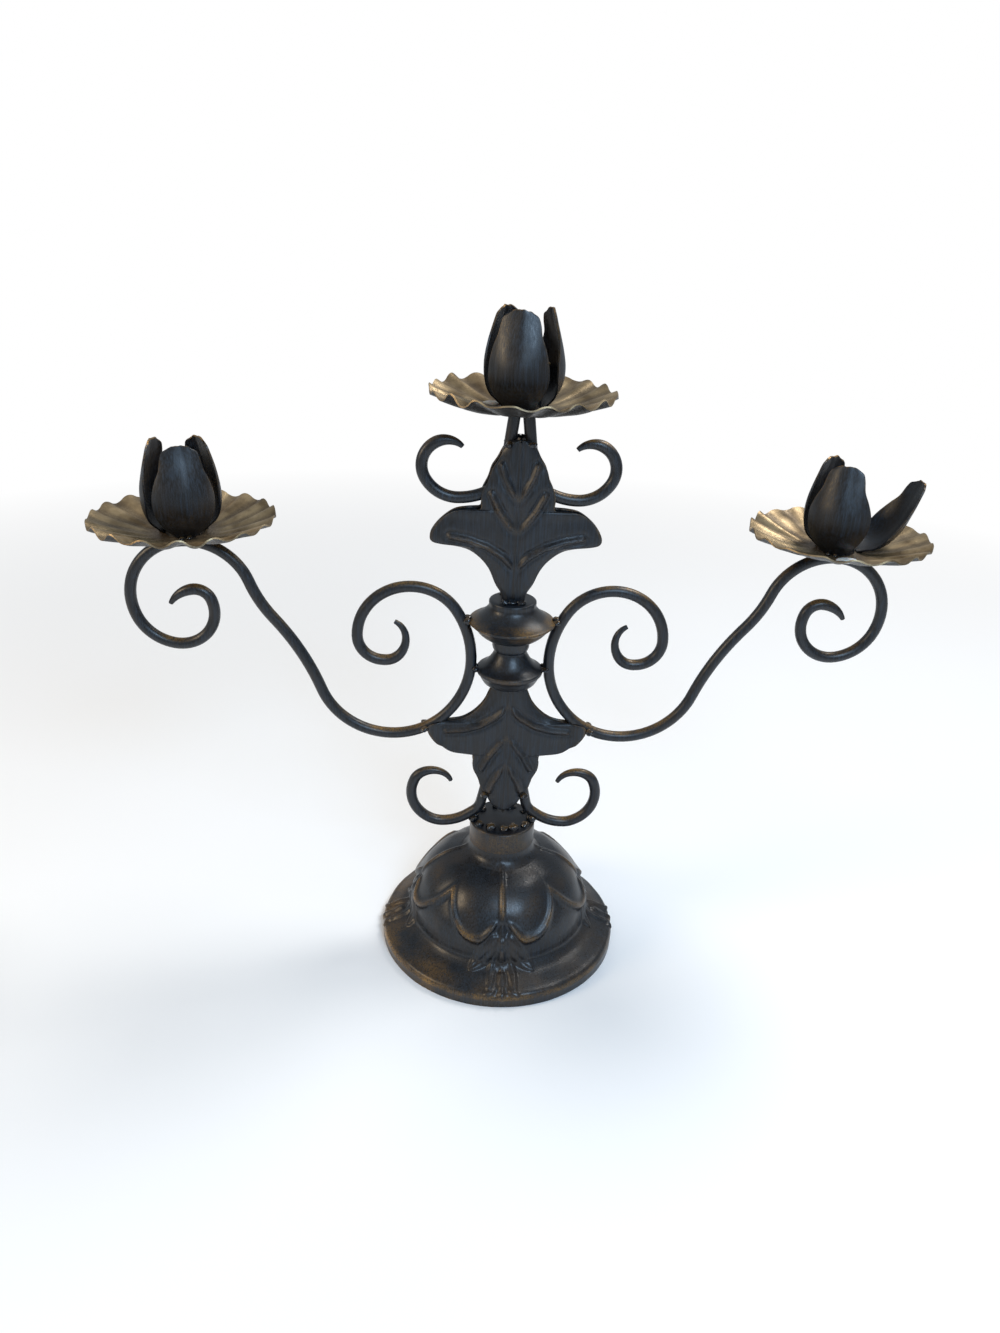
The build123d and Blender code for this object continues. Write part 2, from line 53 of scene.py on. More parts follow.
stands_at = Vector((-0.043, -0.652, 0.544))
facing = Matrix((across, upright, -ahead)).transposed().to_4x4()
view.matrix_world = Matrix.Translation(stands_at) @ facing
bpy.context.scene.camera = view
bpy.context.scene.view_settings.view_transform = "Standard"


def tone(code):
    """A colour written as sRGB hex, turned into linear values."""
    parts = [int(code[i : i + 2], 16) / 255 for i in (1, 3, 5)]
    return [p / 12.92 if p <= 0.04045 else ((p + 0.055) / 1.055) ** 2.4 for p in parts] + [1]


def node(tree, kind, options, inputs):
    """Adds a node with its options, and sets or links its inputs."""
    made = tree.nodes.new("ShaderNode" + kind)
    for option, value in options.items():
        setattr(made, option, value)
    for name, value in inputs.items():
        if isinstance(value, bpy.types.NodeSocket):
            tree.links.new(value, made.inputs[name])
        else:
            made.inputs[name].default_value = value
    return made


# The table and the light: a white tabletop under soft light, cool from the front, warm from the left.
# What the camera sees behind the object is white: the tabletop brightens with distance, and the sky is white.
bpy.ops.object.select_all(action="DESELECT")
bpy.ops.mesh.primitive_plane_add(size=9, location=(0, 0, 0))
tabletop = bpy.context.object
tabletop.name = "tabletop"
table_white = bpy.data.materials.new("matt_white_table")
table_white.use_nodes = True
tree = table_white.node_tree
shader = tree.nodes["Principled BSDF"]
shader.inputs["Roughness"].default_value = 0.9
shader.inputs["Specular IOR Level"].default_value = 0.1
place = node(tree, "TexCoord", {}, {})
cloud = node(tree, "TexNoise", {}, {"Vector": place.outputs["Object"], "Scale": 3.0, "Detail": 2.0})
pale = node(
    tree, "Mix", {"data_type": "RGBA"}, {0: cloud.outputs["Fac"], 6: tone("#f6f6f6"), 7: tone("#fbfbfb")}
)
tree.links.new(pale.outputs[2], shader.inputs["Base Color"])
away = node(tree, "VectorMath", {"operation": "LENGTH"}, {0: place.outputs["Object"]})
far = node(tree, "MapRange", {}, {0: away.outputs["Value"], 1: 0.45, 2: 1.5})
rays = node(tree, "LightPath", {}, {})
glow = node(tree, "Math", {"operation": "MULTIPLY"}, {0: far.outputs[0], 1: rays.outputs["Is Camera Ray"]})
backdrop = node(tree, "Emission", {}, {"Color": tone("#ffffff"), "Strength": 1.0})
floor = node(tree, "MixShader", {}, {0: glow.outputs[0], 1: shader.outputs[0], 2: backdrop.outputs[0]})
tree.links.new(floor.outputs[0], tree.nodes["Material Output"].inputs["Surface"])
tabletop.data.materials.append(table_white)

world = bpy.data.worlds.new("studio")
bpy.context.scene.world = world
world.use_nodes = True
tree = world.node_tree
tree.nodes.clear()
rays = node(tree, "LightPath", {}, {})
seen = node(
    tree,
    "Math",
    {"operation": "MAXIMUM"},
    {0: rays.outputs["Is Camera Ray"], 1: rays.outputs["Is Transmission Ray"]},
)
white = node(tree, "Background", {}, {"Color": (1, 1, 1, 1), "Strength": 1.0})
soft = node(tree, "Background", {}, {"Color": (0.88, 0.94, 1, 1), "Strength": 0.45})
either = node(tree, "MixShader", {}, {0: seen.outputs[0], 1: soft.outputs[0], 2: white.outputs[0]})
node(tree, "OutputWorld", {}, {"Surface": either.outputs[0]})

for name, spot, aim, size, watts, tint in (
    ("window_light", (0.35, -1.1, 1.15), (0, 0, 0.25), 0.6, 11.0, (0.5, 0.73, 1.0)),
    ("high_light", (0.75, 0.35, 1.5), (0, 0, 0.2), 0.6, 13.5, (1.0, 0.98, 0.95)),
    ("warm_light", (-1.2, -0.35, 0.8), (0, 0, 0.2), 0.5, 6.0, (1.0, 0.78, 0.52)),
):
    lamp = bpy.data.lights.new(name, "AREA")
    lamp.shape = "DISK"
    lamp.size = size
    lamp.energy = watts
    lamp.color = tint
    stand = bpy.data.objects.new(name, lamp)
    bpy.context.scene.collection.objects.link(stand)
    stand.location = spot
    stand.rotation_euler = (Vector(aim) - Vector(spot)).to_track_quat("-Z", "Y").to_euler()


# Bars: mild steel round bar, bent cold and dipped in satin black enamel, with bronze on the upward faces, partly rubbed
# wear and partly a painted highlight of the light from above.
# The solids already have the bends and the drawn-out tips, so these nodes stay and get their finish.
def black_enamel(name, bronze_from, shine=0.3, warm_sheen=0.35, bronze_most=0.75):
    """Satin black enamel over steel with drawn streaks: its blue-black streaks are a painted reflection of the blue
    window light, its brown clouds a painted reflection of warm room light, and its bronze goes where the mask says,
    rubbed wear with painted highlight on upward faces, wide edges and the lit left of the base.
    """
    paint = bpy.data.materials.new(name)
    paint.use_nodes = True
    tree = paint.node_tree
    shader = tree.nodes["Principled BSDF"]
    shader.inputs["IOR"].default_value = 1.5
    place = node(tree, "TexCoord", {}, {})
    # Brush marks about 0.8 mm wide and 25 mm long run down the piece, and in the colour they carry the painted blue
    # window reflection
    stretch = node(tree, "Mapping", {}, {"Vector": place.outputs["Object"], "Scale": (1, 1, 0.04)})
    streak = node(tree, "TexNoise", {}, {"Vector": stretch.outputs[0], "Scale": 1100.0, "Detail": 3.0})
    # Clouds of painted brown reflection of warm room light lie about 20 mm apart, specks of bare metal about 1 mm
    cloud = node(tree, "TexNoise", {}, {"Vector": place.outputs["Object"], "Scale": 45.0, "Detail": 4.0})
    speck = node(tree, "TexNoise", {}, {"Vector": place.outputs["Object"], "Scale": 900.0, "Detail": 2.0})
    streaks = node(tree, "MapRange", {}, {0: streak.outputs["Fac"], 1: 0.42, 2: 0.72})
    # The blue-black tone of the streaks is a painted reflection of the blue window light, laid into the base colour
    black_and_blue_sheen = node(
        tree, "Mix", {"data_type": "RGBA"}, {0: streaks.outputs[0], 6: tone("#07090c"), 7: tone("#1b2530")}
    )
    # The brown clouds are a painted reflection of warm room light, laid into the base colour
    warm_sheen_share = node(tree, "MapRange", {}, {0: cloud.outputs["Fac"], 1: 0.45, 2: 0.75, 4: warm_sheen})
    with_warm_sheen = node(
        tree, "Mix", {"data_type": "RGBA"}, {0: warm_sheen_share.outputs[0], 6: black_and_blue_sheen.outputs[2], 7: tone("#2c2117")}
    )
    # Bronze on upward-facing sides: partly rubbed wear, partly a painted highlight of the light from above
    if bronze_from == "top":
        side = node(tree, "NewGeometry", {}, {})
        height = node(tree, "SeparateXYZ", {}, {0: side.outputs["Normal"]})
        source = node(tree, "MapRange", {}, {0: height.outputs[2], 1: 0.45, 2: 1.0}).outputs[0]
    # Bronze towards the wide edges: partly rubbed wear, partly a painted highlight along the rims
    elif bronze_from == "edge":
        flat = node(tree, "VectorMath", {"operation": "MULTIPLY"}, {0: place.outputs["Object"], 1: (1, 1, 0)})
        reach = node(tree, "VectorMath", {"operation": "LENGTH"}, {0: flat.outputs[0]})
        source = node(tree, "MapRange", {}, {0: reach.outputs["Value"], 1: 0.0225, 2: 0.031}).outputs[0]
    else:
        source = node(tree, "Attribute", {"attribute_name": "tone_weight"}, {}).outputs["Fac"]
    broken = node(tree, "MapRange", {}, {0: cloud.outputs["Fac"], 1: 0.35, 2: 0.62})
    grit = node(tree, "MapRange", {}, {0: speck.outputs["Fac"], 1: 0.3, 2: 0.6})
    rub_and_sheen = node(tree, "Math", {"operation": "MULTIPLY"}, {0: source, 1: broken.outputs[0]})
    rub_and_sheen = node(tree, "Math", {"operation": "MULTIPLY"}, {0: rub_and_sheen.outputs[0], 1: grit.outputs[0]})
    rub_and_sheen = node(
        tree, "Math", {"operation": "MULTIPLY", "use_clamp": True}, {0: rub_and_sheen.outputs[0], 1: bronze_most}
    )
    colour = node(
        tree, "Mix", {"data_type": "RGBA"}, {0: rub_and_sheen.outputs[0], 6: with_warm_sheen.outputs[2], 7: tone("#a9834c")}
    )
    tree.links.new(colour.outputs[2], shader.inputs["Base Color"])
    tree.links.new(rub_and_sheen.outputs[0], shader.inputs["Metallic"])
    dull = node(tree, "MapRange", {}, {0: streak.outputs["Fac"], 1: 0.3, 2: 0.7, 3: shine, 4: shine + 0.16})
    tree.links.new(dull.outputs[0], shader.inputs["Roughness"])
    marks = node(tree, "Bump", {}, {"Strength": 0.25, "Distance": 0.0002, "Height": streak.outputs["Fac"]})
    tree.links.new(marks.outputs[0], shader.inputs["Normal"])
    return paint


bar_enamel = black_enamel("satin_black_enamel_on_bar", "top")
for bar in (
    "right_arm",
    "left_arm",
    "upper_right_hook",
    "upper_left_hook",
    "lower_right_hook",
    "lower_left_hook",
):
    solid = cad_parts[bar]
    solid.data.materials.clear()
    solid.data.materials.append(bar_enamel)

# Knop and collar: spun and pressed sheet steel, enamelled, with bronze on the wide edges, partly rubbed wear and partly
# a painted highlight along the rims.
# Their solids are the real shapes, so only the finish is added.
edge_enamel = black_enamel("satin_black_enamel_on_knop", "edge", shine=0.28, warm_sheen=0.5)
for shell in ("lower_knop_bowl", "knop_waist", "upper_knop_bowl", "upper_knop_cap", "neck_collar"):
    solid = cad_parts[shell]
    solid.data.materials.clear()
    solid.data.materials.append(edge_enamel)


# Base: one sheet of steel, spun to a skirt, dome and neck, then embossed from behind with four leaves.
# Each leaf has a midrib down to the rim, two big rolled lobes and pointed barbs under them.
def smooth_through(points, share):
    """A place on the smooth line through the points, with share from 0 to 1."""
    spot = min(max(share, 0), 1) * (len(points) - 1)
    i = min(int(spot), len(points) - 2)
    t = spot - i
    rows = points[max(i - 1, 0)], points[i], points[i + 1], points[min(i + 2, len(points) - 1)]
    return [
        0.5 * (2 * b + (c - a) * t + (2 * a - 5 * b + 4 * c - d) * t**2 + (3 * b - a - 3 * c + d) * t**3)
        for a, b, c, d in zip(*rows)
    ]


def ease(value, low, high):
    """0 below low, 1 above high, smooth between them."""
    t = min(max((value - low) / (high - low), 0), 1)
    return t * t * (3 - 2 * t)


def shaped_sheet(name, columns, rows, shape, wall=0.0, crease=40):
    """A grid whose vertices go where shape(u, v) says in millimetres, closed at its seam, with a wall behind it."""
    bpy.ops.object.select_all(action="DESELECT")
    bpy.ops.mesh.primitive_grid_add(x_subdivisions=columns, y_subdivisions=rows, size=2)
    sheet = bpy.context.object
    sheet.name = name
    tone_weight = sheet.data.attributes.new("tone_weight", "FLOAT", "POINT")
    for vertex in sheet.data.vertices:
        *spot, tone_share = shape((vertex.co.x + 1) / 2, (vertex.co.y + 1) / 2)
        vertex.co = Vector(spot) / 1000
        tone_weight.data[vertex.index].value = tone_share
    bpy.ops.object.mode_set(mode="EDIT")
    bpy.ops.mesh.select_all(action="SELECT")
    bpy.ops.mesh.remove_doubles(threshold=0.00002)
    bpy.ops.object.mode_set(mode="OBJECT")
    if wall:
        thick = sheet.modifiers.new("wall", "SOLIDIFY")
        thick.thickness = wall / 1000
        thick.offset = -1
        bpy.ops.object.modifier_apply(modifier=thick.name)
    bpy.ops.object.shade_smooth_by_angle(angle=radians(crease))
    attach(sheet, "root")
    return sheet


base_outside = (
    (23.5, 103.9), (23.5, 97), (23.5, 91), (23.8, 86), (26, 81), (30.5, 77.3), (37, 73.5), (44, 69.2), (50, 64.5),
    (56, 58.3), (61, 51.5), (65.5, 44), (68.3, 36), (69.2, 29), (70, 22.8), (74, 19), (79.8, 16.2), (86.9, 12.6),
    (91, 10.6), (92.6, 7.5), (92.6, 4), (92.6, 0.3),
)
base_inside = (
    (92.2, 0), (87.8, 0), (87.8, 1.5), (91, 2), (90.6, 7.5), (86, 10.8), (79, 14.5), (72, 18.2), (68.4, 22), (67.4, 29),
    (64, 43), (52.5, 58.5), (42, 68), (29, 76.5), (22.2, 86), (22, 103.9), (23.5, 103.9),
)
outside_share = 0.86
foot_share = 3 / 21 * outside_share
leaf_run = 111.0


def leaflet(x, s, start, end, half, high):
    """Height of one pillow-shaped barb with a vein down its middle."""
    run = end[0] - start[0], end[1] - start[1]
    long = hypot(*run)
    t = ((x - start[0]) * run[0] + (s - start[1]) * run[1]) / long**2
    if not 0 < t < 1:
        return 0
    off = abs((x - start[0]) * run[1] - (s - start[1]) * run[0]) / long
    k = off / (half * sin(pi * t**0.75) ** 0.55 + 0.01)
    if k >= 1:
        return 0
    return high * (1 - k**3) * (0.72 + 0.28 * ease(k, 0.02, 0.3)) * ease(t, 0, 0.08)


def base_relief(x, s):
    """Height of the embossing, x across the leaf from its midrib, s down the sheet from the neck's foot."""
    x = abs(x)
    low = 9 + 11 * ease(x, 0, 18)
    aside = (x - 21.5) / 20.5 * (1 if x > 21.5 else 0.35)
    out = hypot(aside, (s - 36) / (low if s > 36 else 23))
    roll = 2.5 * exp(-(((out - 0.9) * 20 / 2.8) ** 2)) * ease(s, 22, 36) * ease(x, 1, 8)
    lobe = (0.9 + 1.7 * (1 - out**2)) * ease(s, 6, 26) if out < 1 else 0
    big = lobe + roll if out < 1.3 else 0
    barb = leaflet(x, s, (1.5, 51), (24, 80), 7.5, 1.9)
    inner = leaflet(x, s, (1, 57), (10.5, 92), 4.8, 2.0)
    small = leaflet(x, s, (0.5, 79), (13, 101), 4.2, 1.2)
    rib = 1.4 * exp(-((x / 1.7) ** 2)) * ease(s, 4, 16) * (1 - 0.6 * ease(s, 98, 108))
    hollow = -0.9 * exp(-(((x - 4.2) / 1.9) ** 2)) * ease(s, 40, 52) * (1 - ease(s, 94, 106))
    return max(big, barb, inner, small) + rib + hollow


def base_skin(u, v):
    turn = -2 * pi * u
    if v <= outside_share:
        r, z = smooth_through(base_outside, v / outside_share)
        r2, z2 = smooth_through(base_outside, v / outside_share + 0.004)
        r1, z1 = smooth_through(base_outside, v / outside_share - 0.004)
    else:
        r, z = smooth_through(base_inside, (v - outside_share) / (1 - outside_share))
        return r * cos(turn), r * sin(turn), z, 0
    run = leaf_run * (v - foot_share) / (outside_share - foot_share) * 1.04
    quarter = (turn + pi / 4) % (pi / 2) - pi / 4
    raised = base_relief(r * quarter, run) if 0 < run < 108 else 0
    dented = 0.35 * noise.noise(Vector((r * cos(turn), r * sin(turn), z)) / 14)
    if run > 104:
        dented *= 0.3
    long = hypot(r2 - r1, z2 - z1) or 1
    r -= (raised + dented) * (z2 - z1) / long
    z += (raised + dented) * (r2 - r1) / long
    # Bronze goes on the raised ridges, the band under the rim's top and the lower leaves, stronger on the left; the
    # left-hand weighting is a painted warm highlight where the warm lamp falls
    ridge = ease(raised, 2.2, 3.8) * 0.8 + ease(z, 5.5, 7.5) * (1 - ease(z, 8.5, 11)) * 0.7
    warm_lit_left = 0.25 + 0.75 * ease(-cos(turn), -0.3, 0.9)
    tone_share = min(ridge + 0.32 * ease(run, 62, 96) * warm_lit_left, 1) * (0.35 + 0.65 * warm_lit_left)
    return r * cos(turn), r * sin(turn), max(z, 0), tone_share


base = shaped_sheet("embossed_base", 500, 190, base_skin, crease=60)
base_enamel = black_enamel("black_enamel_on_pressed_base", "tone_share", shine=0.26, warm_sheen=0.75, bronze_most=0.9)
base.data.materials.append(base_enamel)
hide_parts("base_dome")

# Leaves: each is one steel stamping with a creased midrib, raised side veins and turned-back lobes.
# A front and a back stamping clasp the bars, upright above the knop and upside down below it.
leaf_edge = (
    (8, 0), (9, 5), (13.1, 11.7), (17.7, 22.2), (23.9, 30), (32, 35.8), (41, 38.2), (51, 39.3), (57, 41),
    (58.7, 44.6), (56.9, 50), (51.2, 57.2), (42.6, 63), (33.4, 64.8), (26, 65.3), (24.6, 67.5), (24.9, 72), (24, 78),
    (20.5, 85.5), (18.2, 93), (14.5, 99), (11.5, 105), (8, 110.2), (4.5, 112.3), (0.4, 112.5),
)
leaf_veins = (
    ((0, 24), (9, 33), (20, 40), (32, 44), (45, 46)),
    ((0, 50), (6, 56), (12.5, 65), (18, 76)),
    ((0, 73), (4.5, 79), (9, 87), (12, 96)),
)


def vein_offset(x, w):
    """Distance to the nearest side vein."""
    nearest = 99
    for vein in leaf_veins:
        for (x1, w1), (x2, w2) in zip(vein, vein[1:]):
            run = x2 - x1, w2 - w1
            long = hypot(*run)
            t = min(max(((x - x1) * run[0] + (w - w1) * run[1]) / long**2, 0), 1)
            nearest = min(nearest, hypot(x - x1 - t * run[0], w - w1 - t * run[1]))
    return nearest


def leaf_depth(x, w, half, way):
    """How far the face stands from the middle plane: nearly closed at the edges, open where bars pass between."""
    x = abs(x)
    k = min(x / (half + 0.1), 1)
    bars = ease(w, 56, 68)
    if way < 0:
        bars = max(bars, ease(x, 45, 53))
    edge = 2.1 + 3.6 * bars
    middle = 8.0 + 1.6 * ease(w, 56, 80)
    swell = edge + (middle - edge) * (1 - k**2.3)
    midrib = -2.0 * exp(-((x / 3.4) ** 2)) + 1.1 * exp(-((x / 1.0) ** 2))
    off = vein_offset(x, w)
    fade = ease(x, 0.5, 5) * (1 - ease(k, 0.86, 0.98))
    vein = 1.9 * exp(-((off / 1.6) ** 2)) - 0.9 * exp(-(((off - 3.3) / 1.3) ** 2))
    return swell + midrib * (1 - ease(k, 0.8, 1.0)) + vein * fade


def leaf_face(way, foot_z, front):
    """The stamping's face, way is 1 upright and -1 upside down, front is -1 in front and 1 behind."""

    def shape(u, v):
        half, w = smooth_through(leaf_edge, v)
        x = (2 * u - 1) * half * (1 if way * front < 0 else -1)
        ragged = 0.5 * noise.noise(Vector((x / 6, w / 6, way * 3 + front)))
        y = front * (leaf_depth(x, w, half, way) + ragged * 0.3)
        edge = ease(abs(2 * u - 1), 0.955, 1.0)
        off = vein_offset(abs(x), w)
        tone_share = 0.45 * edge + 0.22 * exp(-((off / 1.6) ** 2))
        return x, y, foot_z + way * w, tone_share

    return shape


leaf_enamel = black_enamel("satin_black_enamel_on_leaf", "tone_share", shine=0.36, warm_sheen=0.18, bronze_most=0.6)
knop_top_z = 288.0
lower_stem_z = 230.0
for leaf_node, way, foot_z, front in (
    ("upper_front_leaf", 1, knop_top_z, -1),
    ("upper_back_leaf", 1, knop_top_z, 1),
    ("lower_front_leaf", -1, lower_stem_z, -1),
    ("lower_back_leaf", -1, lower_stem_z, 1),
):
    leaf = shaped_sheet("stamped_" + leaf_node, 96, 130, leaf_face(way, foot_z, front), wall=1.5, crease=50)
    leaf.data.materials.append(leaf_enamel)
    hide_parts(leaf_node)


# Drip pans: thin sheet steel discs, fluted by hand over a form, so the flutes and the edge are uneven.
# Bronze and gold rubbed over black enamel on top, dark with patina in the flutes, darker towards the middle round the
# cup, and dark underneath.
pan_r = 61
flute_start_r = 19
pan_rise = 12.3
flute_count = 18


def pan_face(centre, seed):
    """The pan's upper face with its uneven flutes."""

    def shape(u, v):
        turn = -2 * pi * u
        r = pan_r * v**0.8
        out = max(r - flute_start_r, 0) / (pan_r - flute_start_r)
        drift = noise.noise(Vector((cos(turn) * 1.3, sin(turn) * 1.3, seed)))
        swing = noise.noise(Vector((cos(turn) * 2.4, sin(turn) * 2.4, seed + 5)))
        wave = cos(flute_count * turn + 1.1 * drift)
        wave = (1 if wave > 0 else -1) * abs(wave) ** 0.85
        high = pan_rise * out**1.4 + 2.2 * out**0.9 * wave * (0.8 + 0.9 * swing)
        buckle = 0.8 * out * noise.noise(Vector((cos(turn) * r / 14, sin(turn) * r / 14, seed + 9)))
        lip = 0.9 * noise.noise(Vector((cos(turn) * 3.5, sin(turn) * 3.5, seed + 2))) * ease(r, 50, pan_r)
        reach = r + lip - 0.6 * ease(r, 57, pan_r)
        # Dark in the flute valleys, a patina in the hollows, and dark towards the middle round the cup's foot
        dark_share = 0.55 * ease(-wave, -0.2, 0.9) * ease(out, 0.02, 0.3) + 0.9 * (1 - ease(r, 17, 31))
        rise = max(high + buckle, 0.3 * (1 - ease(r, flute_start_r, 24)))
        return centre[0] + reach * cos(turn), centre[1] + reach * sin(turn), centre[2] + rise, dark_share

    return shape


pan_bronze = bpy.data.materials.new("rubbed_bronze_on_black_steel")
pan_bronze.use_nodes = True
tree = pan_bronze.node_tree
shader = tree.nodes["Principled BSDF"]
place = node(tree, "TexCoord", {}, {})
# Rubbing leaves gold on the high places in patches of about 15 mm, broken up by grain of about 1 mm
patch = node(tree, "TexNoise", {}, {"Vector": place.outputs["Object"], "Scale": 65.0, "Detail": 5.0})
grain = node(tree, "TexNoise", {}, {"Vector": place.outputs["Object"], "Scale": 800.0, "Detail": 3.0})
patches = node(tree, "MapRange", {}, {0: patch.outputs["Fac"], 1: 0.35, 2: 0.68})
gilt = node(tree, "Mix", {"data_type": "RGBA"}, {0: patches.outputs[0], 6: tone("#6e5c42"), 7: tone("#b39c78")})
dark_share = node(tree, "Attribute", {"attribute_name": "tone_weight"}, {})
grains = node(tree, "MapRange", {}, {0: grain.outputs["Fac"], 1: 0.25, 2: 0.75, 3: 0.6, 4: 1.2})
dark = node(
    tree, "Math", {"operation": "MULTIPLY", "use_clamp": True}, {0: dark_share.outputs["Fac"], 1: grains.outputs[0]}
)
top = node(tree, "Mix", {"data_type": "RGBA"}, {0: dark.outputs[0], 6: gilt.outputs[2], 7: tone("#33261a")})
side = node(tree, "NewGeometry", {}, {})
height = node(tree, "SeparateXYZ", {}, {0: side.outputs["Normal"]})
above = node(tree, "MapRange", {}, {0: height.outputs[2], 1: -0.15, 2: 0.15})
colour = node(tree, "Mix", {"data_type": "RGBA"}, {0: above.outputs[0], 6: tone("#15110d"), 7: top.outputs[2]})
tree.links.new(colour.outputs[2], shader.inputs["Base Color"])
bare = node(tree, "MapRange", {}, {0: dark.outputs[0], 1: 0.0, 2: 1.0, 3: 0.7, 4: 0.2})
bare = node(tree, "Math", {"operation": "MULTIPLY"}, {0: bare.outputs[0], 1: above.outputs[0]})
tree.links.new(bare.outputs[0], shader.inputs["Metallic"])
dull = node(tree, "MapRange", {}, {0: grain.outputs["Fac"], 1: 0.3, 2: 0.7, 3: 0.36, 4: 0.55})
tree.links.new(dull.outputs[0], shader.inputs["Roughness"])
marks = node(tree, "Bump", {}, {"Strength": 0.3, "Distance": 0.0003, "Height": grain.outputs["Fac"]})
tree.links.new(marks.outputs[0], shader.inputs["Normal"])

top_pan_z = 418.8
side_pan_x = 222.818
side_pan_z = 329.614
holder_spots = {
    "top": (0.0, 0.0, top_pan_z),
    "left": (-side_pan_x, 0.0, side_pan_z),
    "right": (side_pan_x, 0.0, side_pan_z),
}
for seed, (side_name, centre) in enumerate(holder_spots.items()):
    face = pan_face((*centre[:2], centre[2] + 0.2), seed * 3.7)
    pan = shaped_sheet(side_name + "_fluted_pan", 360, 34, face, wall=1.0)
    pan.data.materials.append(pan_bronze)
    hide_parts(side_name + "_drip_pan")


# Candle cups: steel strip rolled to a tube, the ends lapped at a seam, and the mouth flared over a cone.
# Black enamel, worn to bronze on the thin lip.
cup_side = ((12, 0), (12, 6), (12, 12), (12, 17), (12.5, 20.5), (13.7, 24), (15.2, 27.2), (16.5, 29.4))


def cup_face(centre, seam):
    """The cup's outside, with the lapped seam at an angle in degrees."""

    def shape(u, v):
        turn = 2 * pi * u
        r, z = smooth_through(cup_side, v)
        lap = (turn * 180 / pi - seam + 180) % 360 - 180
        r += 0.7 * ease(lap, -6, -5) * (1 - ease(lap, 4, 30))
        lip = 0.35 * noise.noise(Vector((cos(turn) * 2, sin(turn) * 2, seam))) * ease(z, 22, 29)
        r += lip
        return centre[0] + r * cos(turn), centre[1] + r * sin(turn), centre[2] + z + lip, ease(z, 26.5, 29.4)

    return shape


cup_enamel = black_enamel("black_enamel_on_rolled_cup", "tone_share", shine=0.3, warm_sheen=0.7, bronze_most=0.95)
for (side_name, centre), seam in zip(holder_spots.items(), (-60, -20, -75)):
    face = cup_face((*centre[:2], centre[2] + 0.3), seam)
    cup = shaped_sheet(side_name + "_rolled_cup", 180, 22, face, wall=0.98)
    cup.data.materials.append(cup_enamel)
    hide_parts(side_name + "_candle_cup")

# Petals: spoon-shaped steel stampings with a soft crease down the middle and a blunt, nicked tip.
# Three stand round each cup, welded at the foot; one on the right-hand pan is bent open.
petal_lines = (
    (0, 13.3, 5.0), (4, 16.2, 9.5), (8.5, 20.6, 13.6), (14, 23.9, 17.2), (20, 25.7, 19.4), (27, 26.1, 19.8),
    (33, 25.5, 19.0), (40, 23.9, 16.9), (47, 21.9, 14.0), (54, 19.6, 12.5), (59, 18.1, 10.5), (62.3, 17.2, 7.0),
)


def petal_face(centre, angle, lean, seed):
    """The petal's outside, turned to its angle and leaned out from its foot."""

    def shape(u, v):
        z, out, half = smooth_through(petal_lines, v)
        k = 2 * u - 1
        y = k * half * (1 + 0.05 * noise.noise(Vector((v * 3, seed, 0))))
        bend = 24 - (24**2 - min(abs(y), 20) ** 2) ** 0.5
        crease = 0.35 * exp(-(((k - 0.12) / 0.22) ** 2)) * ease(z, 6, 18)
        dent = 0.5 * noise.noise(Vector((k * 1.6, v * 3.5, seed)))
        x = out - bend * 0.94 + crease + dent - 13.3
        nick = 1.7 * abs(k) ** 3 + 0.7 * noise.noise(Vector((k * 2.6, 0, seed + 4)))
        z -= nick * ease(v, 0.85, 1.0)
        turned_x = x * cos(lean) + z * sin(lean) + 13.3
        z = z * cos(lean) - x * sin(lean)
        x = turned_x * cos(angle) - y * sin(angle)
        y = turned_x * sin(angle) + y * cos(angle)
        edge = max(ease(v, 0.975, 1.0), 0.35 * ease(abs(k), 0.93, 1.0) * ease(v, 0.3, 0.9))
        return centre[0] + x, centre[1] + y, centre[2] + max(z, 0), edge

    return shape


petal_enamel = black_enamel("satin_black_enamel_on_petal", "tone_share", shine=0.33, warm_sheen=0.55, bronze_most=1.0)
petal_places = (
    ("top_front_petal", -105, 0), ("top_right_petal", 15, 0), ("top_back_petal", 135, 0),
    ("left_front_petal", -70, 0), ("left_inner_petal", 50, 0), ("left_outer_petal", 170, 0),
    ("right_front_petal", -120, 0), ("right_outer_petal", 0, 34), ("right_back_petal", 120, 0),
)
for seed, (petal_node, angle, lean) in enumerate(petal_places):
    x, y, z = holder_spots[petal_node.split("_")[0]]
    face = petal_face((x, y, z + 0.3), radians(angle), radians(lean), seed * 2.3)
    petal = shaped_sheet("stamped_" + petal_node, 36, 64, face, wall=1.15, crease=50)
    petal.data.materials.append(petal_enamel)
    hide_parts(petal_node)


# Welds: small lumpy beads of molten steel where bars, leaves, knop, collar and pans meet.
# They were enamelled with the rest, but their smooth skin makes the enamel shine.
def weld_beads(name, weld_node, spots):
    """Lumpy beads at the spots, each given as x, y, z and size in millimetres."""
    beads = []
    for x, y, z, size in spots:
        bpy.ops.object.select_all(action="DESELECT")
        bpy.ops.mesh.primitive_ico_sphere_add(subdivisions=3, radius=size / 1000, location=Vector((x, y, z)) / 1000)
        bead = bpy.context.object
        for vertex in bead.data.vertices:
            lump = noise.noise((vertex.co + bead.location) * 330)
            vertex.co *= 1 + 0.42 * lump
            vertex.co.z *= 0.72
        beads.append(bead)
    bpy.ops.object.select_all(action="DESELECT")
    for bead in beads:
        bead.select_set(True)
    bpy.context.view_layer.objects.active = beads[0]
    bpy.ops.object.join()
    run = bpy.context.object
    run.name = name
    bpy.ops.object.transform_apply(location=True, rotation=True, scale=True)
    bpy.ops.object.shade_smooth()
    run.data.materials.append(weld_enamel)
    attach(run, "root")
    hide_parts(weld_node)


